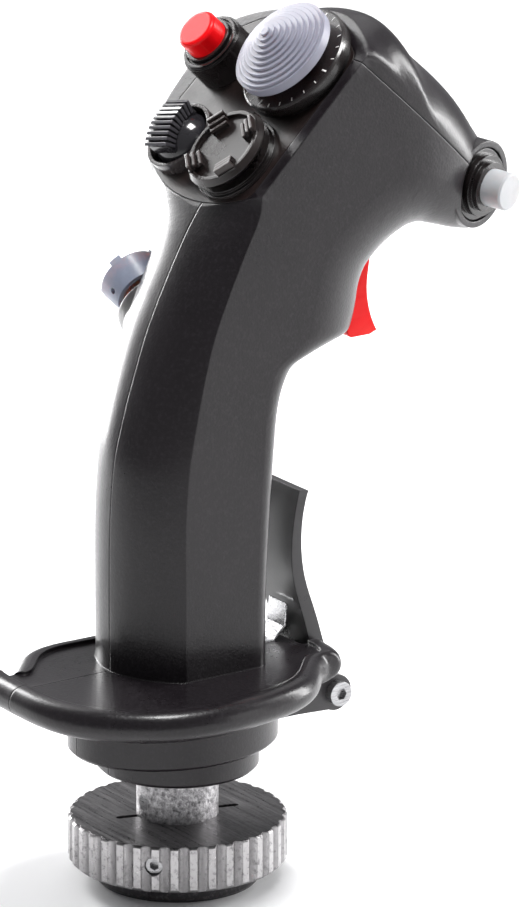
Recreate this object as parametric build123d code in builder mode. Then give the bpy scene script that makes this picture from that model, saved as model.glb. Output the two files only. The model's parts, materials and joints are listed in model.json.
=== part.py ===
from build123d import *

import os
from math import atan2, cos, radians, sin

# Flight joystick grip: two shells over a coupling tube, with its switches, trigger, paddle and boards.
# Row frame, millimetres: +X to the pilot's right, +Y forward, +Z up. The origin is the centre of the
# coupling ring's open lower end, where the grip screws on to its base.

# ---------------------------------------------------------------- driving dimensions
WALL = 2.4  # shell wall
SEAM = 0.1  # half of the gap between the two shells
FIT = 0.05  # radial clearance of a pin, shaft or screw in its hole

RING_RADIUS = 26.0
RING_HEIGHT = 16.0
RING_LIP_HEIGHT = 4.6
RING_LIP_RADIUS = 19.8
RING_FLUTES = 36
FLUTE_RADIUS = 1.45
RING_WEB = 3.0
THREAD_RADIUS = 16.92  # minor radius of an M36 x 2 thread
THREAD_LENGTH = 9.2
RELIEF_RADIUS = 17.6
SLOT_ANGLE = 74.0
SLOT_REACH = 15.2
SET_SCREW_ANGLE = -46.4
SET_SCREW_HEIGHT = 11.0
SET_SCREW_RADIUS = 2.1

TUBE_RADIUS = 9.75
TUBE_BORE = 6.6
TUBE_TOP = 66.0
TUBE_FLANGE_RADIUS = 16.2
TUBE_FLANGE_LOW = 9.4
DOWEL_HEIGHT = 20.1
KEY = (3.0, 2.2, 12.0)
KEY_HEIGHT = 48.0

BOSS_RADIUS = 19.4
BOSS_LOW = 28.3
UPPER_BOSS_LOW = 34.6
UPPER_BOSS_CENTRE = (1.2, -2.0)
UPPER_BOSS_HALF = (21.8, 26.2)
FLANGE_LOW = 47.7
FLANGE_TOP = 55.7
# Plan of the hand rest from its back to its front, wider under the heel of the hand than on the left.
FLANGE_RIGHT = [
    (2.0, -46.9),
    (15.5, -45.6),
    (24.6, -41.6),
    (31.6, -35.1),
    (36.8, -27.4),
    (39.9, -15.7),
    (38.4, 3.8),
    (31.0, 19.4),
    (20.5, 29.4),
    (4.0, 36.0),
]
FLANGE_LEFT = [
    (4.0, 36.0),
    (-9.0, 32.2),
    (-18.5, 20.0),
    (-24.0, 2.0),
    (-24.6, -14.0),
    (-20.4, -31.0),
    (-11.0, -42.0),
    (2.0, -46.9),
]
FLANGE_CENTRE = (7.0, -5.5)
DISH_DEPTH = 0.9
DISH_INSET = 5.0
# The rolled edge: heights, each with how far the outline is drawn in there.
FLANGE_EDGE = [
    (47.7, 4.6),
    (48.2, 2.9),
    (49.4, 1.1),
    (51.2, 0.1),
    (53.0, 0.2),
    (54.6, 1.1),
    (55.4, 2.3),
    (55.7, 3.6),
]
NOTCH_HALF = 9.6
NOTCH_REAR = 29.3

PLATE_TILT = 45.0
PLATE_ORIGIN = (0, 6.7, 163.8)
PLATE_THICK = 2.0
LEDGE = 2.4  # how far the shells reach in under the faceplate
BOARD_DROP = 12.4  # from the plate's face to the board behind it
PIVOT_DROP = 7.0  # from the plate's face to the centres of its tilting switches

# Centres on the faceplate: across it, and up it from its lower edge.
TRIM_CENTRE = (0.5, 40.6)
CASTLE_CENTRE = (1.8, 13.8)
ROCKER_CENTRE = (-19.6, 13.4)
RELEASE_CENTRE = (-26.0, 36.2)
CASTLE_TURN = 8.0  # how far the castle switch is turned on the plate
ROCKER_TURN = 16.0

TRIM_BEZEL_RADIUS = 14.6
TRIM_HAT_RADIUS = 12.7
CASTLE_RADIUS = 10.9
ROCKER_RADIUS = 8.1
RELEASE_RADIUS = 5.2

SHELL_SCREWS = [(15.5, 41.0), (-15.5, 41.0), (10.0, 86.0), (11.5, 119.0), (59.5, 160.5)]
PLATE_SCREWS = [(-14.0, 51.0), (-31.0, 18.0)]
PLATE_SCREW_RADIUS = 0.9
SCREW_RADIUS = 1.5
HEAD_RADIUS = 2.75

NOSE_ORIGIN = (11.0, 79.3, 160.55)
NOSE_AXIS = (0.9405, 0.3302, -0.08)
NOSE_CENTRE = (-0.5, 76.0, 160.2)
NOSE_RADIUS = 11.2
TRIGGER_PIVOT = (50.0, 156.5)
TRIGGER_HALF = 4.4
PADDLE_PIVOT = (38.5, 41.5)
PADDLE_HALF = 7.8
THUMB_ORIGIN = (-19.0, 5.2, 136.3)
THUMB_RISE = 28.0
TRUNNION = 0.9
BRACKET_SCREWS = (5.2, 27.4)
BRACKET_SCREW_RADIUS = 1.25

FACE = Plane(
    origin=PLATE_ORIGIN,
    x_dir=(1, 0, 0),
    z_dir=(0, -cos(radians(PLATE_TILT)), sin(radians(PLATE_TILT))),
)
NOSE = Plane(origin=NOSE_ORIGIN, x_dir=(0, 0, 1), z_dir=NOSE_AXIS)
THUMB = Plane(
    origin=THUMB_ORIGIN,
    x_dir=(0, -1, 0),
    z_dir=(-cos(radians(THUMB_RISE)), 0, sin(radians(THUMB_RISE))),
)
BASE = (Align.CENTER, Align.CENTER, Align.MIN)
CUT = Mode.SUBTRACT

# Sections of the grip body, each in a plane square to X that runs from a point on the front of the
# grip to a point on its back: (front y, z), (back y, z), right half width, left half width at the
# back, left half width at the front, depth of the back's curve, length of the front taper, half
# width of the front, and roundness of the back (0 a shallow arc with creased edges, 1 half an oval).
SECTIONS = [
    ((15.4, 50.0), (-18.9, 50.0), 17.8, 17.8, 17.8, 9.8, 4.5, 13.0, 0.0),
    ((15.6, 70.0), (-18.9, 70.0), 17.8, 17.8, 17.8, 9.8, 4.5, 13.0, 0.0),
    ((16.6, 88.0), (-18.7, 88.0), 17.8, 17.8, 17.8, 9.5, 4.8, 12.7, 0.0),
    ((18.0, 104.0), (-17.6, 104.0), 17.8, 17.8, 17.8, 9.3, 5.2, 12.3, 0.0),
    ((19.8, 117.0), (-14.7, 116.5), 17.8, 17.8, 17.8, 8.6, 6.0, 11.5, 0.0),
    ((24.5, 126.0), (-11.1, 127.8), 17.8, 17.8, 17.8, 7.4, 8.0, 10.5, 0.0),
    ((34.0, 128.6), (-8.0, 136.4), 17.8, 17.3, 17.8, 6.5, 12.0, 8.5, 0.0),
    ((42.5, 130.6), (-5.0, 143.0), 17.8, 16.6, 17.0, 5.9, 16.5, 6.8, 0.0),
    ((44.8, 136.0), (-1.5, 150.0), 17.8, 16.4, 16.8, 5.5, 18.0, 6.4, 0.0),
    ((45.8, 141.0), (3.0, 158.2), 17.8, 18.6, 17.2, 4.9, 18.0, 6.2, 0.0),
    ((47.4, 144.8), (8.4, 167.3), 17.8, 28.4, 18.4, 3.9, 17.8, 6.2, 0.1),
    ((48.9, 146.5), (10.1, 173.5), 17.8, 33.6, 19.5, 3.2, 17.5, 6.3, 0.3),
    ((52.5, 149.6), (20.0, 188.0), 17.8, 38.0, 20.5, 3.8, 16.8, 6.5, 0.6),
    ((57.0, 152.2), (33.1, 203.0), 17.8, 38.6, 21.0, 5.0, 15.8, 6.8, 0.9),
    ((59.3, 153.1), (42.5, 204.2), 17.8, 37.0, 21.0, 8.4, 15.2, 7.0, 1.0),
    ((61.8, 153.4), (50.8, 204.2), 17.6, 33.6, 20.5, 17.0, 14.5, 7.2, 1.0),
    ((66.5, 152.3), (61.2, 195.2), 16.6, 25.5, 18.0, 18.5, 13.0, 7.2, 1.0),
    ((73.0, 150.2), (74.0, 183.2), 14.0, 17.0, 14.5, 15.5, 10.5, 6.8, 1.0),
    ((79.0, 148.6), (83.6, 170.4), 9.6, 9.8, 9.6, 10.0, 8.0, 5.2, 1.0),
]
LEFT_DROP = 0.35  # how much lower the crown's wide left side falls for each millimetre of its width
OVAL = 0.5523  # handle share that makes a cubic curve follow a quarter oval


def section_plane(front, back, inset=0.0):
    """The plane of one body section: its origin at the front of the grip, its Y towards the back."""
    angle = atan2(back[1] - front[1], back[0] - front[0])
    run, rise = cos(angle), sin(angle)
    origin = (0, front[0] + inset * run, front[1] + inset * rise)
    return Plane(origin=origin, x_dir=(1, 0, 0), z_dir=(0, -rise, run))


def body_section(row, inset=0.0):
    """One body section as a face on its own plane."""
    front, back, right, left, left_front, depth, taper, nose, round_back = row
    length = ((back[0] - front[0]) ** 2 + (back[1] - front[1]) ** 2) ** 0.5 - 2 * inset
    right, left, left_front = right - inset, left - inset, left_front - inset
    taper = max(taper - 0.45 * inset, 1.5)
    nose = max(nose - 0.7 * inset, 2.0)
    middle = (right - left) / 2 * (1 - round_back)
    mid_handle = 0.40 + 0.15 * round_back
    side_handle = 0.21 * (1 - round_back)
    rise_handle = 0.62 - 0.07 * round_back
    with BuildSketch(section_plane(front, back, inset)) as section:
        with BuildLine():
            for side, half, front_half in ((1, right, right), (-1, left, left_front)):
                drop = depth + LEFT_DROP * round_back * (half - right)
                edge = side * half
                reach = edge - middle
                Bezier(
                    (middle, length),
                    (middle + mid_handle * reach, length),
                    (edge - side_handle * reach, length - drop + rise_handle * drop),
                    (edge, length - drop),
                )
                Line((edge, length - drop), (side * front_half, taper))
                Bezier(
                    (side * front_half, taper),
                    (side * front_half, taper * (1 - OVAL)),
                    (side * (nose + (front_half - nose) * (1 - OVAL)), 0),
                    (side * nose, 0),
                )
            Line((-nose, 0), (nose, 0))
        make_face()
    return section.sketch


def slope(values, places, index):
    """The slope of a run of values at one place, never enough to overshoot its neighbours."""
    if index in (0, len(values) - 1):
        first = min(index, len(values) - 2)
        return (values[first + 1] - values[first]) / (places[first + 1] - places[first])
    before = (values[index] - values[index - 1]) / (places[index] - places[index - 1])
    after = (values[index + 1] - values[index]) / (places[index + 1] - places[index])
    if before * after <= 0:
        return 0.0
    return 2 * before * after / (before + after)


def between(values, places, index, share):
    """The smooth value a share of the way from one place to the next."""
    step = places[index + 1] - places[index]
    start, end = values[index], values[index + 1]
    start_slope = slope(values, places, index) * step
    end_slope = slope(values, places, index + 1) * step
    rise = 3 * share**2 - 2 * share**3
    bend_in = share * (1 - share) ** 2
    bend_out = share**2 * (share - 1)
    return start + (end - start) * rise + start_slope * bend_in + end_slope * bend_out


def flowing(rows, steps):
    """The same sections with smooth ones between them, steps to each interval."""
    flat = [[*row[0], *row[1], *row[2:]] for row in rows]
    places = [0.0]
    for last, row in zip(flat, flat[1:]):
        moved = [abs(row[n] - last[n]) for n in range(4)]
        places.append(places[-1] + sum(moved) / 2)
    runs = list(zip(*flat))
    dense = []
    for index in range(len(flat) - 1):
        for step in range(steps):
            row = [between(run, places, index, step / steps) for run in runs]
            dense.append((tuple(row[0:2]), tuple(row[2:4]), *row[4:]))
    dense.append(rows[-1])
    return dense


def body_loft(rows, inset=0.0):
    """The grip body through its sections, or the same body drawn in by inset."""
    with BuildPart() as made:
        loft(sections=[body_section(row, inset) for row in flowing(rows, 3)])
    return made.part


# ---------------------------------------------------------------- shared helpers
def save(piece, name):
    """Labels a finished piece and writes it as its own STEP file."""
    piece.label = name
    export_step(piece, f"parts/{name}.step")


def on_face(centre, turn=0.0):
    """A plane on the faceplate's top face at centre, turned about the plate's normal."""
    origin = FACE.from_local_coords(Vector(centre[0], centre[1], 0))
    across = FACE.x_dir * cos(radians(turn)) + FACE.y_dir * sin(radians(turn))
    return Plane(origin=origin, x_dir=across, z_dir=FACE.z_dir)


def turned(seat, steps, bore=0.0):
    """A round piece on the seat plane: steps are (radius, low, high), all with one bore."""
    with BuildPart(seat) as made:
        for radius, low, high in steps:
            with Locations((0, 0, low)):
                Cylinder(radius, high - low, align=BASE)
        if bore:
            with Locations((0, 0, min(low for _, low, _ in steps) - 1)):
                Cylinder(bore, 60, align=BASE, mode=CUT)
    return made.part


def along_x(y, z, radius, start, end):
    """A round bar along X."""
    plane = Plane(origin=(start, y, z), x_dir=(0, 1, 0), z_dir=(1, 0, 0))
    return turned(plane, [(radius, 0, end - start)])


def coil(seat, radius, wire, low, high, turns):
    """A compression spring standing on the seat plane's axis."""
    path = Helix(pitch=(high - low - 2 * wire) / turns, height=high - low - 2 * wire, radius=radius)
    with BuildPart() as made:
        with BuildSketch(Plane(origin=path @ 0, z_dir=path % 0)):
            Circle(wire)
        sweep(path=path, is_frenet=True)
    return seat.offset(low + wire).location * made.part


# ---------------------------------------------------------------- the tilting switches
HOUSING_FLOOR = 1.2
GIMBAL_PLAY = 0.8


def switch_housing(seat, width, depth, pivot, low, high):
    """Open box that carries a gimbal ring on the seat's X axis."""
    side = (width - 9.6 - 2 * GIMBAL_PLAY) / 2
    with BuildPart(seat) as housing:
        with Locations((0, 0, low)):
            Box(width, depth, high - low, align=BASE)
        with Locations((0, 0, low + HOUSING_FLOOR)):
            Box(width - 2 * side, depth - 2 * HOUSING_FLOOR, high - low, align=BASE, mode=CUT)
        with Locations((0, 0, pivot)):
            Cylinder(TRUNNION + FIT, width + 1, rotation=(0, 90, 0), mode=CUT)
    return housing.part


def gimbal_ring(seat, width, pivot):
    """Square ring with trunnions on the seat's X axis and bores on its Y axis."""
    with BuildPart(seat) as gimbal:
        with Locations((0, 0, pivot)):
            Box(9.6, 8.6, 3.0)
            Cylinder(TRUNNION, width - 0.2, rotation=(0, 90, 0))
            Box(6.6, 5.8, 4.0, mode=CUT)
            Cylinder(TRUNNION - 0.1 + FIT, 9.0, rotation=(90, 0, 0), mode=CUT)
    return gimbal.part


def switch_stem(seat, pivot, top):
    """Post that tilts in the gimbal ring on its own cross pin and carries the hat."""
    with BuildPart(seat) as stem:
        with Locations((0, 0, pivot - 1.7)):
            Cylinder(2.0, top - pivot + 1.7, align=BASE)
        with Locations((0, 0, pivot)):
            Cylinder(TRUNNION - 0.1, 8.4, rotation=(90, 0, 0))
    return stem.part


def save_gimbal_switch(name, seat, width, depth, pivot, floor, top_of_box, top_of_stem):
    save(switch_housing(seat, width, depth, pivot, floor, top_of_box), f"{name}_housing")
    save(gimbal_ring(seat, width, pivot), f"{name}_gimbal")
    save(switch_stem(seat, pivot, top_of_stem), f"{name}_stem")


# ---------------------------------------------------------------- grip shells
def plate_outline(inset=0.0):
    """The faceplate's outline on its own plane, drawn in by inset."""
    with BuildSketch(FACE) as outline:
        with BuildLine():
            ThreePointArc((-29.6, 7.6), (-7.0, 0.7), (14.4, 6.3))
            Line((14.4, 6.3), (14.4, 48.0))
            ThreePointArc((14.4, 48.0), (-6.0, 54.2), (-26.5, 48.6))
            Polyline((-26.5, 48.6), (-31.8, 44.4), (-33.4, 17.0), (-29.6, 7.6))
        make_face()
        fillet(outline.vertices(), 3.6)
        if inset:
            offset(amount=-inset, kind=Kind.INTERSECTION)
    return outline.sketch


def flange_sketch(height, inset=0.0):
    """The hand rest's outline at one height, drawn in by inset towards its middle."""
    runs = []
    for plan in (FLANGE_RIGHT, FLANGE_LEFT):
        run = []
        for x, y in plan:
            reach = Vector(x, y) - Vector(*FLANGE_CENTRE)
            run.append(Vector(*FLANGE_CENTRE) + reach * (1 - inset / reach.length))
        runs.append(run)
    with BuildSketch(Plane.XY.offset(height)) as outline:
        with BuildLine():
            Spline(*runs[0], tangents=((1, 0), (-1, 0)))
            Spline(*runs[1], tangents=((-1, 0), (1, 0)))
        make_face()
    return outline.sketch


def make_flange():
    """The hand rest: an oval disc with a rolled edge and a shallow dish."""
    with BuildPart() as flange:
        loft(sections=[flange_sketch(height, inset) for height, inset in FLANGE_EDGE])
        extrude(flange_sketch(FLANGE_TOP - DISH_DEPTH, DISH_INSET), amount=3, mode=CUT)
        with BuildSketch(Plane.XY.offset(FLANGE_LOW - 1)):
            with Locations((0, NOTCH_REAR + 10)):
                RectangleRounded(2 * NOTCH_HALF, 20, 2)
        extrude(amount=12, mode=CUT)
    return flange.part


def make_bosses():
    """The oval and round bosses under the hand rest."""
    with BuildPart() as bosses:
        with BuildSketch(Plane.XY.offset(UPPER_BOSS_LOW)):
            with Locations(UPPER_BOSS_CENTRE):
                Ellipse(*UPPER_BOSS_HALF)
        extrude(amount=FLANGE_LOW - UPPER_BOSS_LOW + 1)
        chamfer(bosses.edges().group_by(Axis.Z)[0], 0.8)
        with BuildSketch(Plane.XY.offset(BOSS_LOW)):
            Circle(BOSS_RADIUS)
        extrude(amount=UPPER_BOSS_LOW - BOSS_LOW + 1)
        chamfer(bosses.edges().group_by(Axis.Z)[0], 0.8)
    return bosses.part


def make_outer():
    """The grip's whole outside, cut off at the faceplate."""
    with BuildPart() as outer:
        add(body_loft(SECTIONS))
        split(bisect_by=FACE, keep=Keep.BOTTOM)
        with Locations(NOSE_CENTRE):
            Sphere(NOSE_RADIUS)
        add(turned(NOSE, [(NOSE_RADIUS - 0.6, -12.6, 0)]))
        add(make_flange())
        add(make_bosses())
        with BuildSketch(THUMB.offset(-13)):
            Circle(13.5)
        with BuildSketch(THUMB.offset(-4)):
            Circle(9.6)
        with BuildSketch(THUMB):
            Circle(8.6)
        loft(ruled=True)
    return outer.part


def right_side(gap):
    """Everything that belongs to the right shell, grown past the seam by gap."""
    shoulder = Plane(origin=(0, 39.2, 198.0 + gap), x_dir=(1, 0, 0), z_dir=(0, 0.669, 0.743))
    with BuildPart() as side:
        with Locations((-gap, 0, 120)):
            Box(100, 220, 220, align=(Align.MIN, Align.CENTER, Align.CENTER))
        split(bisect_by=shoulder, keep=Keep.BOTTOM)
    return side.part


def make_casing():
    """The hollow casing before it is parted into two shells."""
    outer = make_outer()
    bosses = [(y, z, 4.0) for y, z in SHELL_SCREWS[2:]]
    with BuildPart() as ribs:
        for y, z, radius in bosses:
            add(along_x(y, z, radius, -30, 30))
        add(along_x(*TRIGGER_PIVOT, 3.4, -30, -6.4))
        add(along_x(*TRIGGER_PIVOT, 3.4, 6.4, 30))
        add(outer, mode=Mode.INTERSECT)
    with BuildPart() as casing:
        add(outer)
        add(body_loft(SECTIONS[1:-2], WALL) & lower_half(FACE.offset(-PLATE_THICK - LEDGE)), mode=CUT)
        add(ribs.part)
        extrude(plate_outline(-FIT), amount=-PLATE_THICK, mode=CUT)
        extrude(plate_outline(LEDGE), amount=-PLATE_THICK - LEDGE - 1, mode=CUT)
        add(turned(Plane.XY, [(TUBE_RADIUS + FIT, BOSS_LOW - 1, SECTIONS[1][0][1] + 1)]), mode=CUT)
        with Locations((0, TUBE_RADIUS, KEY_HEIGHT)):
            Box(KEY[0] + 2 * FIT, 2 * KEY[1], KEY[2] + 2 * FIT, mode=CUT)
        add(turned(NOSE, [(5.6, -17.3, 1), (9.05, -3.2, 9)]), mode=CUT)
        with Locations((0, 47.2, 139)):
            Box(2 * TRIGGER_HALF + 1.0, 15.6, 32, mode=CUT)
        add(along_x(*TRIGGER_PIVOT, 1.5 + FIT, -9.5, 9.5), mode=CUT)
        add(turned(THUMB, [(6.6, -12, 1)]), mode=CUT)
        for side in (-1, 1):
            with Locations((side * BRACKET_SCREWS[0], BRACKET_SCREWS[1], FLANGE_LOW - 1)):
                Cylinder(BRACKET_SCREW_RADIUS + FIT, 5.4, align=BASE, mode=CUT)
        for centre in PLATE_SCREWS:
            add(turned(on_face(centre), [(PLATE_SCREW_RADIUS + FIT, -5.6, 0)]), mode=CUT)
        for y, z in SHELL_SCREWS:
            add(along_x(y, z, SCREW_RADIUS + FIT, -30, 12.2), mode=CUT)
            add(along_x(y, z, HEAD_RADIUS + 0.2, -45, -11), mode=CUT)
    return casing.part


def lower_half(plane):
    """A block that fills everything below a plane."""
    with BuildPart(plane) as block:
        Box(200, 400, 400, align=(Align.CENTER, Align.CENTER, Align.MAX))
    return block.part


def make_shells():
    casing = make_casing()
    with BuildPart() as right_shell:
        add(casing & right_side(-SEAM))
    save(right_shell.part, "right_shell")
    with BuildPart() as left_shell:
        add(casing - right_side(SEAM))
    save(left_shell.part, "left_shell")


def make_shell_screws():
    """Pan-head screws that pull the left shell on to the right one."""
    with BuildPart() as shell_screws:
        for y, z in SHELL_SCREWS:
            add(along_x(y, z, SCREW_RADIUS, -11.2, 11.8))
            head = along_x(y, z, HEAD_RADIUS, -13.2, -11.05)
            with BuildPart() as drilled:
                add(head)
                add(along_x(y, z, 1.1, -14, -12.2), mode=CUT)
            add(drilled.part)
    save(shell_screws.part, "shell_screws")


# ---------------------------------------------------------------- neck, ring and connector
def make_neck():
    """The cast tube that the shells clamp on, with its flange inside the coupling ring."""
    with BuildPart() as neck_tube:
        add(
            turned(
                Plane.XY,
                [
                    (TUBE_FLANGE_RADIUS, TUBE_FLANGE_LOW, RING_HEIGHT - RING_WEB - 0.15),
                    (TUBE_RADIUS, TUBE_FLANGE_LOW, TUBE_TOP),
                ],
                TUBE_BORE,
            )
        )
        with Locations((0, TUBE_RADIUS, KEY_HEIGHT)):
            Box(KEY[0] + 2 * FIT, 2.4, KEY[2] + 2 * FIT, mode=CUT)
        with Locations((0, 0, DOWEL_HEIGHT)):
            Cylinder(2.0 + FIT, 40, rotation=(90, 0, 0), mode=CUT)
    save(neck_tube.part, "neck_tube")
    with BuildPart() as neck_dowels:
        for side in (-1, 1):
            with Locations((0, side * 8.1, DOWEL_HEIGHT)):
                Cylinder(2.0, 3.1, rotation=(90, 0, 0))
    save(neck_dowels.part, "neck_dowels")
    with BuildPart() as neck_key:
        with Locations((0, TUBE_RADIUS + 0.45, KEY_HEIGHT)):
            Box(KEY[0], 3.2, KEY[2])
    save(neck_key.part, "neck_key")


def make_coupling_ring():
    """Fluted nut: threaded bore below, a web above that the tube turns in."""
    with BuildPart() as coupling_ring:
        with BuildSketch(Plane.XZ):
            with BuildLine():
                Polyline(
                    (THREAD_RADIUS, 0),
                    (RING_LIP_RADIUS - 0.6, 0),
                    (RING_LIP_RADIUS, 0.8),
                    (RING_LIP_RADIUS + 0.7, RING_LIP_HEIGHT),
                    (RING_RADIUS - 1.0, RING_LIP_HEIGHT),
                    (RING_RADIUS, RING_LIP_HEIGHT + 0.9),
                    (RING_RADIUS, RING_HEIGHT - 0.5),
                    (RING_RADIUS - 0.5, RING_HEIGHT),
                    (TUBE_RADIUS + 0.07, RING_HEIGHT),
                    (TUBE_RADIUS + 0.07, RING_HEIGHT - RING_WEB),
                    (RELIEF_RADIUS, RING_HEIGHT - RING_WEB),
                    (RELIEF_RADIUS, THREAD_LENGTH),
                    (THREAD_RADIUS, THREAD_LENGTH),
                    (THREAD_RADIUS, 0),
                )
            make_face()
        revolve(axis=Axis.Z)
        with BuildSketch(Plane.XY.offset(RING_LIP_HEIGHT)):
            with PolarLocations(RING_RADIUS + 0.45, RING_FLUTES):
                Circle(FLUTE_RADIUS)
        extrude(amount=RING_HEIGHT, mode=CUT)
        with BuildSketch(Plane.XY.offset(RING_HEIGHT - RING_WEB - 1).rotated((0, 0, SLOT_ANGLE))):
            SlotOverall(2 * SLOT_REACH, 1.6)
        extrude(amount=RING_WEB + 2, mode=CUT)
        add(turned(set_screw_plane(), [(SET_SCREW_RADIUS + FIT, 15, 30)]), mode=CUT)
    save(coupling_ring.part, "coupling_ring")


def set_screw_plane():
    angle = radians(SET_SCREW_ANGLE)
    return Plane(
        origin=(0, 0, SET_SCREW_HEIGHT), x_dir=(0, 0, 1), z_dir=(cos(angle), sin(angle), 0)
    )


def make_ring_set_screw():
    plane = set_screw_plane()
    with BuildPart() as ring_set_screw:
        add(turned(plane, [(SET_SCREW_RADIUS, RELIEF_RADIUS + 0.3, RING_RADIUS - 1.6)]))
        with BuildSketch(plane.offset(RING_RADIUS - 3.4)):
            RegularPolygon(1.15, 6)
        extrude(amount=3, mode=CUT)
    save(ring_set_screw.part, "ring_set_screw")


def make_connector():
    """The plug in the tube's lower end: a shell, an insulator and its pins."""
    circle, pins = 3.3, 5
    save(turned(Plane.XY, [(TUBE_BORE - FIT, 9.8, 18.0)], 5.7), "connector_shell")
    with BuildPart() as connector_insert:
        with Locations((0, 0, 13.0)):
            Cylinder(5.65, 3.4, align=BASE)
        with PolarLocations(circle, pins):
            Cylinder(0.6 + FIT, 40, mode=CUT)
        with Locations((0, 5.2, 13.0)):
            Box(1.4, 1.6, 3.4, align=BASE, mode=CUT)
    save(connector_insert.part, "connector_insert")
    with BuildPart() as connector_pins:
        with PolarLocations(circle, pins):
            with Locations((0, 0, 10.6)):
                Cylinder(0.6, 7.6, align=BASE)
    save(connector_pins.part, "connector_pins")


# ---------------------------------------------------------------- faceplate and its switches
def make_faceplate():
    with BuildPart() as faceplate:
        extrude(plate_outline(FIT), amount=-PLATE_THICK)
        for centre, radius in (
            (TRIM_CENTRE, 5.6),
            (CASTLE_CENTRE, 4.6),
            (ROCKER_CENTRE, ROCKER_RADIUS),
            (RELEASE_CENTRE, 6.5),
        ):
            add(turned(on_face(centre), [(radius, -5, 5)]), mode=CUT)
        for centre in PLATE_SCREWS:
            add(turned(on_face(centre), [(PLATE_SCREW_RADIUS + FIT, -5, 5), (2.0, -1.2, 5)]), mode=CUT)
    save(faceplate.part, "faceplate")
    with BuildPart() as faceplate_screws:
        for centre in PLATE_SCREWS:
            add(turned(on_face(centre), [(PLATE_SCREW_RADIUS, -5.2, -1.1), (1.9, -1.15, -0.05)]))
    save(faceplate_screws.part, "faceplate_screws")


def make_trim():
    """The stepped cone that the thumb trims with, over its raised bezel."""
    seat = on_face(TRIM_CENTRE)
    top = 4.2
    bezel_steps = [(TRIM_BEZEL_RADIUS - 0.9, 0, 1.2), (TRIM_BEZEL_RADIUS, 1.2, top)]
    with BuildPart() as trim_bezel:
        add(turned(seat, bezel_steps, 5.6))
        rims = trim_bezel.edges().filter_by(GeomType.CIRCLE)
        chamfer(rims.sort_by(Axis(seat.origin, seat.z_dir))[-2:], 0.5)
    save(trim_bezel.part, "trim_bezel")
    rings = 10
    rim_low, rim_high, apex = 6.9, 9.2, 15.4
    with BuildPart(seat) as trim_hat:
        with Locations((0, 0, rim_low)):
            Cylinder(TRIM_HAT_RADIUS, rim_high - rim_low, align=BASE)
        for ring in range(rings):
            radius = TRIM_HAT_RADIUS * (1 - (ring + 0.6) / (rings + 0.6))
            rise = (apex - rim_high) * (ring + 1) / rings
            with Locations((0, 0, rim_high - 0.5)):
                Cylinder(radius, rise + 0.5, align=BASE)
        with Locations((0, 0, rim_low - 1)):
            Cylinder(2.0 + FIT, 5.0, align=BASE, mode=CUT)
    save(trim_hat.part, "trim_hat")
    save_gimbal_switch("trim", seat, 14.0, 13.0, -PIVOT_DROP, 1 - BOARD_DROP, -PLATE_THICK, 10.4)


def make_castle():
    """A four-way hat with a raised grip at each corner."""
    seat = on_face(CASTLE_CENTRE, CASTLE_TURN)
    ring_steps = [(CASTLE_RADIUS + 0.2, 0, 1.0), (CASTLE_RADIUS - 0.6, 1.0, 1.9)]
    save(turned(seat, ring_steps, 4.6), "castle_ring")
    with BuildPart(seat) as castle_hat:
        with Locations((0, 0, 3.3)):
            Cone(CASTLE_RADIUS - 1.6, CASTLE_RADIUS, 1.6, align=BASE)
        with Locations((0, 0, 4.9)):
            Cone(CASTLE_RADIUS, CASTLE_RADIUS - 1.0, 1.5, align=BASE)
        with Locations((0, 0, 5.6)):
            Cone(CASTLE_RADIUS - 2.2, CASTLE_RADIUS - 1.6, 2, align=BASE, mode=CUT)
        for corner in range(4):
            with Locations(Location((0, 0, 0), (0, 0, 45 + 90 * corner))):
                with Locations((CASTLE_RADIUS - 3.0, 0, 5.2)):
                    Box(4.0, 4.6, 1.3, align=BASE)
                for rib in range(3):
                    with Locations((CASTLE_RADIUS - 4.6 + 1.4 * rib, 0, 5.2)):
                        Box(0.75, 4.6, 2.0 + 0.5 * rib, align=BASE)
        with Locations((0, 0, 2)):
            Cylinder(2.0 + FIT, 2.5, align=BASE, mode=CUT)
    save(castle_hat.part, "castle_hat")
    save_gimbal_switch("castle", seat, 13.0, 12.2, -PIVOT_DROP, 1 - BOARD_DROP, -PLATE_THICK, 4.4)


def make_rocker():
    """A domed rocker with a ribbed pad, tilting on a pin under the plate."""
    seat = on_face(ROCKER_CENTRE, ROCKER_TURN)
    save(turned(seat, [(ROCKER_RADIUS + 1.0, 0, 3.4)], ROCKER_RADIUS + 0.05), "rocker_ring")
    ribs = 10
    with BuildPart(seat) as rocker_dome:
        with Locations((0, 0, -0.4)):
            Sphere(ROCKER_RADIUS - 0.6)
        with Locations((0, 0, -1.0)):
            Box(40, 40, 40, align=(Align.CENTER, Align.CENTER, Align.MAX), mode=CUT)
        with Locations((0, 0, -7.0)):
            Box(5.0, 4.6, 6.5, align=BASE)
        with Locations((0, 0, 4.2)):
            Box(6.8, 11.8, 3.6, align=BASE)
        for rib in range(ribs):
            angle = -25 + 50 * rib / (ribs - 1)
            with Locations(Location((0, 0, -5.0), (angle, 0, 0))):
                with Locations((0, 0, 11.4)):
                    Box(7.2, 0.75, 3.2, align=BASE)
        with Locations((0, 0, -5.2)):
            Cylinder(TRUNNION + FIT, 9, rotation=(0, 90, 0), mode=CUT)
    save(rocker_dome.part, "rocker_dome")
    with BuildPart(seat) as rocker_pin:
        with Locations((0, 0, -5.2)):
            Cylinder(TRUNNION, 8.8, rotation=(0, 90, 0))
    save(rocker_pin.part, "rocker_pin")
    with BuildPart(seat) as rocker_housing:
        with Locations((0, 0, -9.6)):
            Box(9.0, 9.0, 7.6, align=BASE)
            with Locations((0, 0, 1.2)):
                Box(6.2, 7.0, 9.0, align=BASE, mode=CUT)
        with Locations((0, 0, -5.2)):
            Cylinder(TRUNNION + FIT, 12, rotation=(0, 90, 0), mode=CUT)
    save(rocker_housing.part, "rocker_housing")


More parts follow.
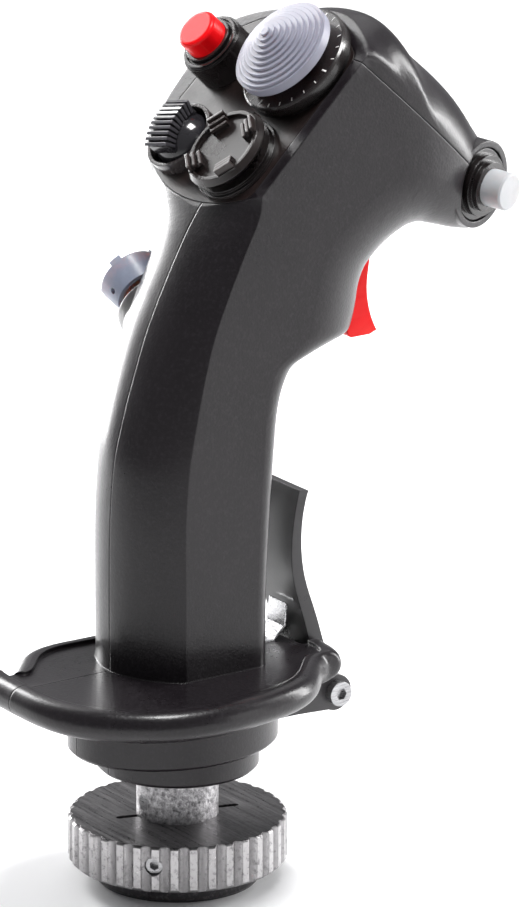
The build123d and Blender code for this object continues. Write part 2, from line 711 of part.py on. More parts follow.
def make_release():
    """The red push button in its stepped collar."""
    seat = on_face(RELEASE_CENTRE)
    save(turned(seat, [(8.0, 0, 7.0), (7.5, 7.0, 7.8)], 6.6 + FIT), "release_collar")
    save(turned(seat, [(6.6, 2.2, 7.4), (6.1, 7.4, 8.6)], RELEASE_RADIUS + FIT), "release_bushing")
    steps = [(RELEASE_RADIUS, 0.1, 13.4), (6.1, 0.9, 1.9), (3.2, -1.0, 0.5), (1.4, -3.9, 0)]
    with BuildPart() as release_button:
        add(turned(seat, steps))
        rims = release_button.edges().filter_by(GeomType.CIRCLE)
        fillet(rims.sort_by(Axis(seat.origin, seat.z_dir))[-1], 1.0)
    save(release_button.part, "release_button")
    save(coil(seat, 2.6, 0.3, -5.75, -1.05, 4), "release_spring")
    with BuildPart(seat) as release_switch:
        with Locations((0, 0, -8.0)):
            Box(5.0, 6.0, 2.2, align=BASE)
            Box(4.0, 14.6, 1.0, align=(Align.CENTER, Align.CENTER, Align.MAX))
            for end in (-1, 1):
                with Locations((0, end * 6.8, -1.0)):
                    Box(4.0, 1.0, 7.0, align=BASE)
    save(release_switch.part, "release_switch")


# ---------------------------------------------------------------- forward button and thumb hat
def make_forward_button():
    """The push button on the end of the bill, in a stepped barrel."""
    barrel = [(5.55, -17.1, -3.15), (8.7, -3.15, -0.3), (7.5, -0.3, 1.4), (6.1, 1.4, 2.9)]
    save(turned(NOSE, barrel, 4.62), "forward_collar")
    with BuildPart() as forward_button:
        add(turned(NOSE, [(4.55, -7.3, 8.3), (1.4, -10.2, -6.3)]))
        rims = forward_button.edges().filter_by(GeomType.CIRCLE)
        chamfer(rims.sort_by(Axis(NOSE.origin, NOSE.z_dir))[-1], 0.4)
    save(forward_button.part, "forward_button")
    save(coil(NOSE, 2.8, 0.3, -12.5, -7.35, 4), "forward_spring")
    save(turned(NOSE, [(4.5, -16.9, -12.6)]), "forward_switch")


def make_thumb():
    """The castellated hat on the left side, tilting both ways on its stem."""
    with BuildPart(THUMB) as thumb_hat:
        with Locations((0, 0, 3.4)):
            Cone(6.6, 7.6, 6.0, align=BASE)
        with Locations((0, 0, 9.4)):
            Cylinder(7.6, 1.6, align=BASE)
        with Locations((0, 0, 3.4)):
            Cone(5.4, 6.2, 4.4, align=BASE, mode=CUT)
        with Locations((0, 0, 9.8)):
            Box(20, 8.4, 3, align=BASE, mode=CUT)
            Box(8.4, 20, 3, align=BASE, mode=CUT)
        with Locations((0, 0, 7.0)):
            Cylinder(2.0 + FIT, 2.4, align=BASE, mode=CUT)
        for side in range(4):
            with Locations(Location((0, 0, 5.8), (0, 90, 45 + 90 * side))):
                Cylinder(0.7, 30, mode=CUT)
    save(thumb_hat.part, "thumb_hat")
    with BuildPart(THUMB) as thumb_housing:
        with Locations((0, 0, -9.0)):
            Cylinder(6.5, 8.6, align=BASE)
        with Locations((0, 0, -7.8)):
            Box(9.8, 8.4, 9.0, align=BASE, mode=CUT)
        with Locations((0, 0, -3.6)):
            Cylinder(TRUNNION + FIT, 14, rotation=(0, 90, 0), mode=CUT)
    save(thumb_housing.part, "thumb_housing")
    with BuildPart(THUMB) as thumb_gimbal:
        with Locations((0, 0, -3.6)):
            Box(8.0, 6.6, 2.6)
            Cylinder(TRUNNION, 12.4, rotation=(0, 90, 0))
            Box(5.6, 4.8, 4.0, mode=CUT)
            Cylinder(0.7 + FIT, 9.0, rotation=(90, 0, 0), mode=CUT)
    save(thumb_gimbal.part, "thumb_gimbal")
    with BuildPart(THUMB) as thumb_stem:
        with Locations((0, 0, -5.0)):
            Cylinder(2.0, 14.2, align=BASE)
        with Locations((0, 0, -3.6)):
            Cylinder(0.7, 6.4, rotation=(90, 0, 0))
    save(thumb_stem.part, "thumb_stem")


# ---------------------------------------------------------------- trigger
def side_block(outline, half):
    """A block with its outline in the Y-Z plane, half to each side of the seam."""
    with BuildPart() as block:
        extrude(outline.moved(Location((-half, 0, 0))), amount=2 * half)
    return block.part


def trigger_outline():
    with BuildSketch(Plane.YZ) as outline:
        with BuildLine():
            Polyline((45.6, 127.4), (46.6, 126.6), (52.0, 126.6), (53.9, 127.4))
            Spline((53.9, 127.4), (52.0, 132.0), (51.1, 137.5), (51.5, 143.0), (52.6, 149.0), (53.9, 155.5))
            ThreePointArc((53.9, 155.5), (50.0, 160.6), (46.1, 155.5))
            Spline((46.1, 155.5), (45.7, 143.0), (45.3, 136.0), (45.6, 127.4))
        make_face()
    return outline.sketch


def make_trigger():
    with BuildPart() as trigger:
        add(side_block(trigger_outline(), TRIGGER_HALF))
        add(along_x(*TRIGGER_PIVOT, 1.5 + FIT, -9, 9), mode=CUT)
    save(trigger.part, "trigger")
    save(along_x(*TRIGGER_PIVOT, 1.5, -9.4, 9.4), "trigger_pin")
    seat = Plane(origin=(0, *TRIGGER_PIVOT), x_dir=(0, 1, 0), z_dir=(1, 0, 0))
    save(coil(seat, 2.3, 0.3, 4.6, 6.3, 3), "trigger_spring")
    with BuildPart() as trigger_switch:
        with Locations((0, 38.6, 152.0)):
            Box(6.0, 6.4, 12.8)
        with Locations((0, 42.6, 148.5)):
            Box(2.0, 2.0, 1.6)
    save(trigger_switch.part, "trigger_switch")


# ---------------------------------------------------------------- paddle
def paddle_outline():
    with BuildSketch(Plane.YZ) as outline:
        with BuildLine():
            Spline((41.2, 44.6), (37.6, 51.0), (34.6, 60.5), (31.2, 71.0), (30.2, 80.0), (32.2, 92.2))
            Line((32.2, 92.2), (29.6, 92.6))
            Spline((29.6, 92.6), (27.5, 80.0), (27.9, 71.0), (30.6, 61.5), (32.6, 54.0), (34.4, 42.5))
            ThreePointArc((34.4, 42.5), (38.9, 37.3), (42.7, 42.0))
            Line((42.7, 42.0), (41.2, 44.6))
        make_face()
    return outline.sketch


def paddle_pocket():
    """The hollow in the lever's front, which leaves a web and two side flanges."""
    web, flange = 1.9, 1.7
    with BuildPart() as middle:
        with Locations((0, 34, 68)):
            Box(20, 30, 38)
    pocket = side_block(paddle_outline().moved(Location((0, web, 0))), PADDLE_HALF - flange)
    return pocket & middle.part


def make_paddle():
    y, z = PADDLE_PIVOT
    with BuildPart() as paddle_lever:
        add(side_block(paddle_outline(), PADDLE_HALF))
        add(paddle_pocket(), mode=CUT)
        add(along_x(y, z, 1.8 + FIT, -12, 12), mode=CUT)
    save(paddle_lever.part, "paddle_lever")
    with BuildPart() as paddle_bracket:
        with BuildSketch(Plane.YZ.offset(8.2)):
            with BuildLine():
                Polyline((25.0, 47.5), (25.0, 38.0), (36.4, 37.4))
                ThreePointArc((36.4, 37.4), (42.6, 40.0), (40.6, 45.2))
                Polyline((40.6, 45.2), (34.5, 47.5), (25.0, 47.5))
            make_face()
        extrude(amount=2.2)
        mirror(about=Plane.YZ)
        with Locations((0, 27.4, 45.0)):
            Box(20.8, 4.8, 2.5, align=BASE)
        add(along_x(y, z, 1.8 + FIT, -12, 12), mode=CUT)
        for side in (-1, 1):
            with Locations((side * BRACKET_SCREWS[0], BRACKET_SCREWS[1], 46)):
                Cylinder(BRACKET_SCREW_RADIUS + FIT, 10, mode=CUT)
    save(paddle_bracket.part, "paddle_bracket")
    with BuildPart() as paddle_pin:
        add(along_x(y, z, 1.8, -10.6, 10.6))
        add(along_x(y, z, 3.0, 10.5, 12.6))
        with BuildSketch(Plane(origin=(11.4, y, z), x_dir=(0, 1, 0), z_dir=(1, 0, 0))):
            RegularPolygon(1.5, 6)
        extrude(amount=3, mode=CUT)
    save(paddle_pin.part, "paddle_pin")
    with BuildPart() as bracket_screws:
        for side in (-1, 1):
            with Locations((side * BRACKET_SCREWS[0], BRACKET_SCREWS[1], 42.9)):
                Cylinder(2.2, 2.0, align=BASE)
                Cylinder(BRACKET_SCREW_RADIUS, 9.0, align=BASE)
    save(bracket_screws.part, "bracket_screws")
    with BuildPart() as paddle_spring:
        with BuildSketch(Plane.YZ):
            with BuildLine():
                leaf = Polyline((18.0, 55.05), (25.2, 55.05), (28.2, 58.0), (28.9, 63.5))
            trace(leaf, line_width=0.5)
        extrude(amount=3.6, both=True)
    save(paddle_spring.part, "paddle_spring")
    with BuildPart() as paddle_switch:
        with Locations((0, 28.2, 39.2)):
            Box(12.8, 5.8, 6.0)
        with Locations((-2.4, 31.6, 39.2)):
            Box(1.6, 2.0, 2.0)
    save(paddle_switch.part, "paddle_switch")


# ---------------------------------------------------------------- boards and wiring
def make_electronics():
    with BuildPart() as main_board:
        with Locations((-5.0, -5.0, 96.0)):
            Box(1.6, 14.0, 36.0)
        for height in (84.0, 96.0, 108.0):
            with Locations((-3.2, -6.0, height)):
                Box(2.2, 6.0, 6.0)
    save(main_board.part, "main_board")
    with BuildPart() as board_posts:
        for height in (80.0, 112.0):
            add(along_x(-2.0, height, 1.6, -15.2, -5.8))
    save(board_posts.part, "board_posts")
    with BuildPart(FACE) as plate_board:
        with Locations((-4.6, 27.0, -BOARD_DROP - 0.6)):
            Box(30.0, 42.0, 1.6, align=BASE)
    save(plate_board.part, "plate_board")
    with BuildPart() as lower_loom:
        with BuildLine() as route:
            FilletPolyline((0, 0, 18.4), (0, 0, 70), (0, 2.6, 84), (0, 2.6, 98), radius=14)
        with BuildSketch(Plane(origin=route.line @ 0, z_dir=route.line % 0)):
            Circle(2.2)
        sweep(path=route.line)
    save(lower_loom.part, "lower_loom")
    with BuildPart() as upper_loom:
        with BuildLine() as route:
            FilletPolyline((0, 2.6, 98.2), (0, 2.6, 112), (0, 8.5, 134), (0, 19.0, 152), radius=14)
        with BuildSketch(Plane(origin=route.line @ 0, z_dir=route.line % 0)):
            Circle(1.8)
        sweep(path=route.line)
    save(upper_loom.part, "upper_loom")


os.makedirs("parts", exist_ok=True)
make_shells()
make_shell_screws()
make_neck()
make_coupling_ring()
make_ring_set_screw()
make_connector()
make_faceplate()
make_trim()
make_castle()
make_rocker()
make_release()
make_forward_button()
make_thumb()
make_trigger()
make_paddle()
make_electronics()
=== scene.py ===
import json
import math

import bpy
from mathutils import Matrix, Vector


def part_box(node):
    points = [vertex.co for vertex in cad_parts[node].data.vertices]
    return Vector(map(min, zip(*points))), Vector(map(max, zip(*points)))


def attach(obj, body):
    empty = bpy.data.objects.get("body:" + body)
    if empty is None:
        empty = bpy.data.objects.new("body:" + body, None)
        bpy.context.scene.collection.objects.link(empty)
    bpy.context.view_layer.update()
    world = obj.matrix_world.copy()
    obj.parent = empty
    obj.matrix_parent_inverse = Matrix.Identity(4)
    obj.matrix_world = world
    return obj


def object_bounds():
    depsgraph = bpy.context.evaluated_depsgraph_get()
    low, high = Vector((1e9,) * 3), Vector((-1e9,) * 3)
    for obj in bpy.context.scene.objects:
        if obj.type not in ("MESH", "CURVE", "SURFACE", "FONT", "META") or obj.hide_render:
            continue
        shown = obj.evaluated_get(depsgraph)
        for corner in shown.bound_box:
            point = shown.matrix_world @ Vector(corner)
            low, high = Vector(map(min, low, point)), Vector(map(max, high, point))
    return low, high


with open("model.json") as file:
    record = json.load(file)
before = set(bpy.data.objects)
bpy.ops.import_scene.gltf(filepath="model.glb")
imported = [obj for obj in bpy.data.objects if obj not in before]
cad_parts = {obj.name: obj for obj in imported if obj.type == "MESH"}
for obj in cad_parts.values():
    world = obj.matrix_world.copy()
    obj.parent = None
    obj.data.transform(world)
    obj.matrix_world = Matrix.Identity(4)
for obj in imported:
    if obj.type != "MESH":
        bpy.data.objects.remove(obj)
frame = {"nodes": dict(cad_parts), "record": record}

# Flight joystick. The CAD nodes keep their shapes. Blender gives every one its material, and adds the
# small parts of the finish that the CAD model leaves out: the paint's soft edges and the ticks on the
# trim bezel.

cad_low, cad_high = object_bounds()
NODES = frame["nodes"]
RECORD = frame["record"]

# The camera stands at this azimuth (0 on the pilot's side, 90 to the right), this far from straight down.
CAMERA_AZIMUTH = 56
CAMERA_TILT = 72.8
# The head's face and its controls lean back by this angle.
FACE_TILT = math.radians(45)
# Nearly all the values of a noise texture lie between these.
NOISE_LOW, NOISE_HIGH = 0.3, 0.7


# ---------------------------------------------------------------- materials
class Finish:
    """A node material on one Principled shader, with its textures placed in the row frame."""

    def __init__(self, name):
        self.material = bpy.data.materials.new(name)
        self.material.use_nodes = True
        self.tree = self.material.node_tree
        self.shader = self.tree.nodes["Principled BSDF"]
        self.place = self.node("ShaderNodeTexCoord").outputs["Object"]
        self.height = None

    def node(self, kind, **facts):
        made = self.tree.nodes.new(kind)
        for key, value in facts.items():
            setattr(made, key, value)
        return made

    def wire(self, source, target):
        self.tree.links.new(source, target)

    def fixed(self, **values):
        """Sets the shader's own sockets, such as coat_weight=0.3."""
        for key, value in values.items():
            self.shader.inputs[key.replace("_", " ").title().replace("Ior", "IOR")].default_value = value
        return self

    def stretched(self, scale, turn=(0, 0, 0)):
        mapping = self.node("ShaderNodeMapping")
        mapping.inputs["Scale"].default_value = scale
        mapping.inputs["Rotation"].default_value = turn
        self.wire(self.place, mapping.inputs["Vector"])
        return mapping.outputs["Vector"]

    def noise(self, scale, detail=3.0, roughness=0.55, where=None):
        made = self.node("ShaderNodeTexNoise")
        made.inputs["Scale"].default_value = scale
        made.inputs["Detail"].default_value = detail
        made.inputs["Roughness"].default_value = roughness
        self.wire(where or self.place, made.inputs["Vector"])
        return made.outputs["Fac"]

    def cells(self, scale, feature="F1"):
        made = self.node("ShaderNodeTexVoronoi", feature=feature)
        made.inputs["Scale"].default_value = scale
        self.wire(self.place, made.inputs["Vector"])
        return made.outputs["Distance"]

    def ranged(self, value, low, high, start=0.0, end=1.0):
        made = self.node("ShaderNodeMapRange")
        for socket, number in zip(("From Min", "From Max", "To Min", "To Max"), (start, end, low, high)):
            made.inputs[socket].default_value = number
        self.wire(value, made.inputs["Value"])
        return made.outputs["Result"]

    def spread(self, noise, low, high):
        """A noise stretched to run from low to high."""
        return self.ranged(noise, low, high, NOISE_LOW, NOISE_HIGH)

    def tinted(self, noise, dark, light):
        """A noise as colours from dark to light."""
        return self.ramp(noise, (NOISE_LOW, dark), (NOISE_HIGH, light))

    def ramp(self, value, *stops):
        made = self.node("ShaderNodeValToRGB")
        elements = made.color_ramp.elements
        while len(elements) < len(stops):
            elements.new(0.5)
        for element, (position, colour) in zip(elements, stops):
            element.position = position
            element.color = (*colour, 1)
        self.wire(value, made.inputs["Fac"])
        return made.outputs["Color"]

    def sum(self, first, second, operation="ADD"):
        made = self.node("ShaderNodeMath", operation=operation)
        for socket, value in zip(made.inputs, (first, second)):
            if isinstance(value, (int, float)):
                socket.default_value = value
            else:
                self.wire(value, socket)
        return made.outputs[0]

    def mixed(self, share, first, second):
        made = self.node("ShaderNodeMix", data_type="RGBA")
        self.wire(share, made.inputs["Factor"])
        for socket, value in zip((made.inputs["A"], made.inputs["B"]), (first, second)):
            if isinstance(value, tuple):
                socket.default_value = (*value, 1)
            else:
                self.wire(value, socket)
        return made.outputs["Result"]

    def colour(self, source):
        self.wire(source, self.shader.inputs["Base Color"])
        return self

    def rough(self, source):
        self.wire(source, self.shader.inputs["Roughness"])
        return self

    def metal(self, source):
        self.wire(source, self.shader.inputs["Metallic"])
        return self

    def bump(self, source, depth, strength=1.0):
        made = self.node("ShaderNodeBump")
        made.inputs["Distance"].default_value = depth
        made.inputs["Strength"].default_value = strength
        self.wire(source, made.inputs["Height"])
        if self.height is not None:
            self.wire(self.height, made.inputs["Normal"])
        self.height = made.outputs["Normal"]
        self.wire(self.height, self.shader.inputs["Normal"])
        return self

    def rounded(self, radius):
        """Soft corners on hard edges, under any later bump."""
        made = self.node("ShaderNodeBevel", samples=6)
        made.inputs["Radius"].default_value = radius
        self.height = made.outputs["Normal"]
        self.wire(self.height, self.shader.inputs["Normal"])
        return self

    def edges(self, low, high):
        """A mask of the convex edges, for wear."""
        point = self.node("ShaderNodeNewGeometry").outputs["Pointiness"]
        return self.ranged(point, 0.0, 1.0, low, high)


def shell_paint():
    """Satin black powder paint with a fine leathery grain, worn thin on its sharpest edges."""
    f = Finish("shell_paint").rounded(0.0006)
    cloud = f.noise(26, 4, 0.6)
    speck = f.noise(1100, 2, 0.6)
    base = f.tinted(cloud, (0.006, 0.0045, 0.0058), (0.0105, 0.0082, 0.01))
    base = f.mixed(f.ranged(speck, 0.0, 0.3, 0.5, 0.8), base, (0.035, 0.03, 0.036))
    f.colour(f.mixed(f.edges(0.56, 0.68), base, (0.1, 0.095, 0.1)))
    f.rough(f.sum(f.spread(cloud, 0.28, 0.35), f.spread(speck, -0.03, 0.04)))
    grain = f.noise(420, 4, 0.65, f.stretched((1, 1, 2.4)))
    f.bump(f.cells(1500), 0.00004, 0.5).bump(grain, 0.00005, 0.55)
    f.fixed(metallic=0.0, specular_ior_level=0.3, coat_weight=0.12, coat_roughness=0.14)
    return f.material


def plate_paint():
    """Brown-black satin paint, finer than the shells'."""
    f = Finish("plate_paint").rounded(0.0004)
    cloud = f.noise(34, 4, 0.6)
    base = f.tinted(cloud, (0.008, 0.0045, 0.0042), (0.013, 0.0072, 0.0068))
    f.colour(f.mixed(f.ranged(f.noise(1300, 2), 0.0, 0.5, 0.5, 0.8), base, (0.03, 0.02, 0.018)))
    f.rough(f.spread(f.noise(210, 3), 0.36, 0.48))
    f.bump(f.noise(1500, 2), 0.00004, 0.5)
    f.fixed(metallic=0.0, specular_ior_level=0.3, coat_weight=0.1, coat_roughness=0.3)
    return f.material


def black_moulding(name, tint, gloss, coat, speckle=0.5):
    """Moulded black plastic: a clean gloss with faint swirls, worn paler on its edges."""
    f = Finish(name).rounded(0.00035)
    cloud = f.noise(70, 4, 0.6)
    dark = tuple(c * 0.75 for c in tint)
    base = f.tinted(cloud, dark, tint)
    f.colour(f.mixed(f.edges(0.55, 0.66), base, tuple(min(c * 3 + 0.015, 1) for c in tint)))
    f.rough(f.sum(f.spread(cloud, gloss, gloss + 0.08), f.ranged(f.noise(900, 2), -0.02, 0.03)))
    f.bump(f.noise(1100, 3, 0.5), 0.000022, speckle)
    f.fixed(specular_ior_level=0.35, coat_weight=coat * 0.6, coat_roughness=gloss * 0.5)
    return f.material


def pale_moulding(name, low, high, gloss):
    """Pale moulded plastic with a matt grain, darker in its grooves."""
    f = Finish(name).rounded(0.0003)
    cloud = f.noise(60, 5, 0.6)
    base = f.tinted(cloud, low, high)
    # Mixes a darker tone into the concave grooves, picked out by the mesh's pointiness.
    groove_darkening = f.ranged(f.node("ShaderNodeNewGeometry").outputs["Pointiness"], 1.0, 0.0, 0.4, 0.49)
    f.colour(f.mixed(groove_darkening, base, tuple(c * 0.62 for c in low)))
    f.rough(f.spread(f.noise(340, 3), gloss, gloss + 0.14))
    f.bump(f.noise(1600, 2), 0.00003, 0.5)
    f.fixed(subsurface_weight=0.04)
    return f.material


def red_gloss(name, low, high, gloss, coat):
    """Deep red plastic with a thin clear coat."""
    f = Finish(name).rounded(0.0004)
    cloud = f.noise(55, 4, 0.6)
    base = f.tinted(cloud, low, high)
    f.colour(f.mixed(f.edges(0.56, 0.7), base, (0.9, 0.05, 0.04)))
    f.rough(f.spread(f.noise(260, 3), gloss, gloss + 0.1))
    f.bump(f.noise(700, 3), 0.00003, 0.5)
    f.fixed(specular_ior_level=0.12, coat_weight=coat, coat_roughness=0.12)
    return f.material


def cast_metal():
    """Rough sand-cast alloy: deep pitting, with dark oxide in the pits."""
    f = Finish("cast_neck")
    pits = f.noise(760, 5, 0.72)
    coarse = f.noise(190, 4, 0.65)
    base = f.ramp(pits, (0.3, (0.07, 0.068, 0.07)), (0.5, (0.42, 0.41, 0.42)), (0.7, (0.78, 0.77, 0.78)))
    f.colour(base)
    f.metal(f.ranged(pits, 0.6, 1.0, 0.3, 0.5))
    f.rough(f.spread(coarse, 0.34, 0.62))
    f.bump(coarse, 0.0003, 0.5).bump(pits, 0.00022, 0.9)
    return f.material


def ring_steel():
    """Dark turned steel on top, bright worn crests on the flutes."""
    f = Finish("ring_steel").rounded(0.00025)
    low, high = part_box("coupling_ring")
    spot = f.node("ShaderNodeSeparateXYZ")
    f.wire(f.place, spot.inputs[0])
    x, y, z = spot.outputs
    radius = f.sum(f.sum(f.sum(x, x, "MULTIPLY"), f.sum(y, y, "MULTIPLY")), 0.5, "POWER")
    outer = (high.x - low.x) / 2
    crest = f.ranged(radius, 0.0, 1.0, outer - 0.0014, outer - 0.0003)
    top = f.ranged(z, 0.0, 1.0, high.z - 0.0006, high.z - 0.0001)
    scratch = f.noise(120, 6, 0.75, f.stretched((0.35, 9, 1), (0, 0, 0.35)))
    pits = f.noise(900, 4, 0.7)
    flute = f.mixed(crest, (0.07, 0.067, 0.07), (0.42, 0.41, 0.415))
    flute = f.mixed(f.ranged(pits, 0.0, 0.75, 0.52, 0.66), flute, (0.16, 0.155, 0.16))
    dark, middling, bright = (0.04, 0.038, 0.04), (0.12, 0.115, 0.118), (0.24, 0.235, 0.238)
    face = f.ramp(scratch, (0.32, dark), (0.5, middling), (0.7, bright))
    f.colour(f.mixed(top, flute, face))
    f.rough(f.sum(f.spread(scratch, 0.24, 0.46), f.ranged(pits, -0.05, 0.12, 0.4, 0.7)))
    f.bump(scratch, 0.00005, 0.5).bump(pits, 0.00007, 0.6)
    f.fixed(metallic=0.92)
    return f.material


def steel(name, low, high, gloss, grain=(1, 1, 12)):
    """Plain machined steel with a drawn grain and a few pits."""
    f = Finish(name).rounded(0.0002)
    grain_noise = f.noise(260, 5, 0.7, f.stretched(grain))
    pits = f.noise(1300, 3, 0.6)
    f.colour(f.tinted(grain_noise, low, high))
    f.rough(f.sum(f.spread(grain_noise, gloss, gloss + 0.16), f.ranged(pits, -0.03, 0.08, 0.4, 0.8)))
    f.bump(grain_noise, 0.00003, 0.5).bump(pits, 0.00003, 0.4)
    f.fixed(metallic=0.95)
    return f.material


def board():
    """Glass-fibre board: green resin over a faint weave, with paler tracks."""
    f = Finish("board_green")
    weave = f.node("ShaderNodeTexChecker")
    weave.inputs["Scale"].default_value = 2600
    f.wire(f.place, weave.inputs["Vector"])
    tracks = f.ranged(f.cells(420, "DISTANCE_TO_EDGE"), 1.0, 0.0, 0.03, 0.06)
    base = f.tinted(f.noise(90, 3), (0.012, 0.085, 0.03), (0.02, 0.13, 0.045))
    f.colour(f.mixed(tracks, base, (0.05, 0.22, 0.08)))
    f.rough(f.ranged(f.noise(400, 2), 0.3, 0.42))
    f.bump(weave.outputs["Fac"], 0.00002, 0.4).bump(tracks, 0.00004, 0.6)
    return f.material


def jacket():
    """Black braided sleeve over the wiring looms."""
    f = Finish("loom_jacket")
    braid = f.cells(1500)
    f.colour(f.ramp(braid, (0.2, (0.03, 0.03, 0.032)), (0.6, (0.008, 0.008, 0.009))))
    f.rough(f.spread(f.noise(300, 3), 0.55, 0.75))
    f.bump(braid, 0.0002, 0.7)
    return f.material


def white_tick():
    """Worn white paint on the raised ticks."""
    f = Finish("tick_paint")
    wear = f.noise(900, 4, 0.6)
    f.colour(f.ramp(wear, (0.35, (0.45, 0.44, 0.43)), (0.55, (0.85, 0.84, 0.83))))
    f.rough(f.ranged(wear, 0.5, 0.7))
    f.bump(wear, 0.00002, 0.5)
    return f.material


def floor_paper():
    """Matt pale paper."""
    f = Finish("floor_paper")
    f.colour(f.tinted(f.noise(3, 3), (0.93, 0.93, 0.935), (0.95, 0.95, 0.955)))
    f.rough(f.ranged(f.noise(40, 2), 0.85, 0.95))
    f.bump(f.noise(500, 2), 0.00005, 0.3)
    return f.material


FINISHES = {
    "shell_paint": shell_paint(),
    "plate_paint": plate_paint(),
    "screw_steel": steel("screw_steel", (0.2, 0.2, 0.205), (0.5, 0.5, 0.51), 0.24),
    "cast_neck": cast_metal(),
    "ring_steel": ring_steel(),
    "connector_metal": steel("connector_metal", (0.45, 0.45, 0.46), (0.75, 0.75, 0.76), 0.2),
    "insulator": black_moulding("insulator", (0.03, 0.03, 0.032), 0.4, 0.0),
    "contact_brass": steel("contact_brass", (0.55, 0.38, 0.14), (0.85, 0.65, 0.3), 0.2),
    "trigger_red": red_gloss("trigger_red", (0.7, 0.002, 0.005), (0.84, 0.004, 0.008), 0.4, 0.04),
    "spring_steel": steel("spring_steel", (0.5, 0.5, 0.51), (0.85, 0.85, 0.86), 0.16),
    "switch_plastic": black_moulding("switch_plastic", (0.06, 0.06, 0.065), 0.38, 0.0),
    "collar_black": black_moulding("collar_black", (0.008, 0.006, 0.006), 0.2, 0.5),
    "button_grey": pale_moulding("button_grey", (0.32, 0.33, 0.345), (0.46, 0.47, 0.485), 0.3),
    "button_red": red_gloss("button_red", (0.76, 0.002, 0.005), (0.88, 0.004, 0.008), 0.3, 0.08),
    "trim_grey": pale_moulding("trim_grey", (0.22, 0.22, 0.275), (0.3, 0.3, 0.365), 0.36),
    "castle_black": black_moulding("castle_black", (0.01, 0.0065, 0.006), 0.24, 0.45),
    "rocker_gloss": black_moulding("rocker_gloss", (0.02, 0.019, 0.022), 0.14, 0.8, 0.25),
    "thumb_grey": pale_moulding("thumb_grey", (0.2, 0.22, 0.29), (0.33, 0.36, 0.45), 0.3),
    "mechanism_steel": steel("mechanism_steel", (0.3, 0.3, 0.31), (0.62, 0.62, 0.63), 0.22),
    "lever_black": black_moulding("lever_black", (0.01, 0.009, 0.01), 0.26, 0.35),
    "board_green": board(),
    "loom_jacket": jacket(),
}
for part in RECORD["subparts"]:
    node = NODES[part["node"]]
    node.data.materials.clear()
    node.data.materials.append(FINISHES[part["material_slot"]])


# ---------------------------------------------------------------- mesh helpers
def placed(name, mesh, material):
    """A smooth-shaded object from a mesh, linked into the scene."""
    made = bpy.data.objects.new(name, mesh)
    bpy.context.scene.collection.objects.link(made)
    mesh.materials.append(material)
    for face in mesh.polygons:
        face.use_smooth = True
    return made


def piece(name, mesh, material, body):
    """An added piece that rides a body of the CAD model."""
    made = placed(name, mesh, material)
    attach(made, body)


def mesh_of(name, vertices, faces):
    mesh = bpy.data.meshes.new(name)
    mesh.from_pydata([tuple(v) for v in vertices], [], faces)
    mesh.update()
    return mesh


def seat_of(normal):
    """Axes (across, up, out) of a flat face with this outward normal."""
    out = normal.normalized()
    across = Vector((0, 0, 1)).cross(out).normalized()
    return across, out.cross(across), out


def outermost_middle(points, normal, depth=0.0002):
    """The middle of the points that lie furthest along a direction, to within a depth."""
    far = max(p.dot(normal) for p in points)
    rim = [p for p in points if p.dot(normal) > far - depth]
    return sum(rim, Vector()) / len(rim)


# ---------------------------------------------------------------- ticks on the trim bezel
FACE_NORMAL = Vector((0, -math.cos(FACE_TILT), math.sin(FACE_TILT)))
TICKS = 24
TICKS_PER_DIRECTION = 6
TICK_MARGIN = 0.0009
TICK_HEIGHT = 0.00005
TICK_DEPTH = 0.00001
TICK_TAPER = 0.8


def bezel_ticks():
    """Plain raised ticks round the bezel: a longer one at each of the four trim directions."""
    across, upward, out = seat_of(FACE_NORMAL)
    points = [v.co for v in NODES["trim_bezel"].data.vertices]
    middle = outermost_middle(points, FACE_NORMAL)
    arms = [p - middle for p in points]
    bezel_radius = max((arm - FACE_NORMAL * arm.dot(FACE_NORMAL)).length for arm in arms)
    vertices, faces = [], []
    for index in range(TICKS):
        long = index % TICKS_PER_DIRECTION == 0
        angle = math.tau * index / TICKS
        radial = across * math.cos(angle) + upward * math.sin(angle)
        sideways = across * -math.sin(angle) + upward * math.cos(angle)
        start, end = bezel_radius - (0.0026 if long else 0.0019), bezel_radius - TICK_MARGIN
        half = 0.00022 if long else 0.00012
        foot = len(vertices)
        for distance in (start, end):
            for side in (-half, half):
                vertices.append(middle + radial * distance + sideways * side - out * TICK_DEPTH)
        for distance in (start + TICK_HEIGHT, end - TICK_HEIGHT):
            for side in (-half * TICK_TAPER, half * TICK_TAPER):
                vertices.append(middle + radial * distance + sideways * side + out * TICK_HEIGHT)
        for corners in ((4, 6, 7, 5), (0, 2, 6, 4), (1, 5, 7, 3), (0, 4, 5, 1), (2, 3, 7, 6)):
            faces.append(tuple(foot + corner for corner in corners))
    return mesh_of("bezel_ticks", vertices, faces)


piece("bezel_ticks", bezel_ticks(), white_tick(), "grip")


# ---------------------------------------------------------------- floor, lights, camera
FLOOR_DROP = 0.0001
FLOOR_HALF_WIDTH = 4
# The sheet's profile away from the camera: metres along the floor, metres up.
FLOOR_PROFILE = [
    (-3.0, 0),
    (-1.0, 0),
    (0.5, 0),
    (1.2, 0),
    (1.9, 0.05),
    (2.5, 0.3),
    (2.9, 0.9),
    (3.0, 2.0),
    (3.0, 3.5),
]


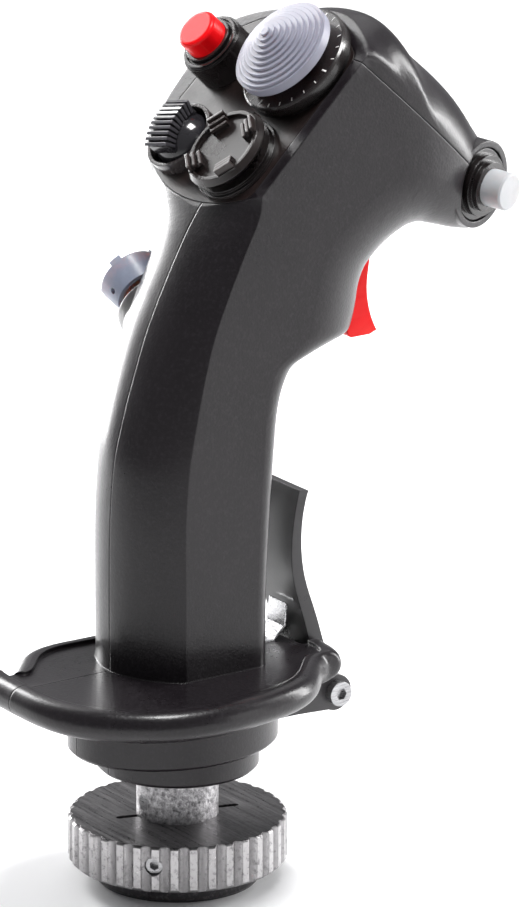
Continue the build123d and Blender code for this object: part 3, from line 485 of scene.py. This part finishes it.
def floor():
    """A pale sheet that curves up 3 m behind the object. It hides the object from cameras beyond it."""
    base = cad_low.z - FLOOR_DROP
    azimuth = math.radians(CAMERA_AZIMUTH)
    forward = Vector((-math.sin(azimuth), math.cos(azimuth), 0))
    sideways = Vector((forward.y, -forward.x, 0))
    vertices = [
        forward * run + sideways * side + Vector((0, 0, base + rise))
        for run, rise in FLOOR_PROFILE
        for side in (-FLOOR_HALF_WIDTH, FLOOR_HALF_WIDTH)
    ]
    corners = range(0, 2 * len(FLOOR_PROFILE) - 2, 2)
    faces = [(a, a + 1, a + 3, a + 2) for a in corners]
    placed("floor", mesh_of("floor", vertices, faces), floor_paper())


def area_light(name, azimuth, elevation, distance, size, power, aim=(0, 0.02, 0.12), spread=180):
    """A soft panel at an azimuth (0 on the pilot's side, 90 to the right) and elevation."""
    a, e = math.radians(azimuth), math.radians(elevation)
    back = Vector((math.sin(a) * math.cos(e), -math.cos(a) * math.cos(e), math.sin(e)))
    lamp = bpy.data.lights.new(name, "AREA")
    lamp.energy = power
    lamp.spread = math.radians(spread)
    lamp.shape = "RECTANGLE"
    lamp.size, lamp.size_y = size
    made = bpy.data.objects.new(name, lamp)
    bpy.context.scene.collection.objects.link(made)
    made.location = Vector(aim) + back * distance
    made.rotation_mode = "QUATERNION"
    made.rotation_quaternion = (-back).to_track_quat("-Z", "Y")


floor()
area_light("left_strip", -88, 10, 0.9, (0.3, 0.9), 18)
area_light("top_panel", 112, 80, 0.8, (0.26, 0.24), 8)
area_light("front_strip", 168, 6, 0.9, (0.2, 0.9), 12)
area_light("right_panel", 128, 0, 1.1, (0.4, 0.7), 2)
area_light("floor_light", 236, 62, 1.25, (1.3, 0.9), 1.4, aim=(-0.45, 0.3, 0), spread=110)

world = bpy.data.worlds.new("studio")
world.use_nodes = True
world.node_tree.nodes["Background"].inputs["Color"].default_value = (0.96, 0.965, 1.0, 1)
world.node_tree.nodes["Background"].inputs["Strength"].default_value = 0.3
bpy.context.scene.world = world
bpy.context.scene.view_settings.view_transform = "Standard"

camera_data = bpy.data.cameras.new("camera")
camera_data.sensor_width = 36.0
camera_data.lens = 300.8
camera_data.clip_start, camera_data.clip_end = 0.05, 20
camera = bpy.data.objects.new("camera", camera_data)
bpy.context.scene.collection.objects.link(camera)
camera.location = (1.41576, -0.93102, 0.62937)
camera.rotation_euler = (math.radians(CAMERA_TILT), 0, math.radians(CAMERA_AZIMUTH))
bpy.context.scene.camera = camera
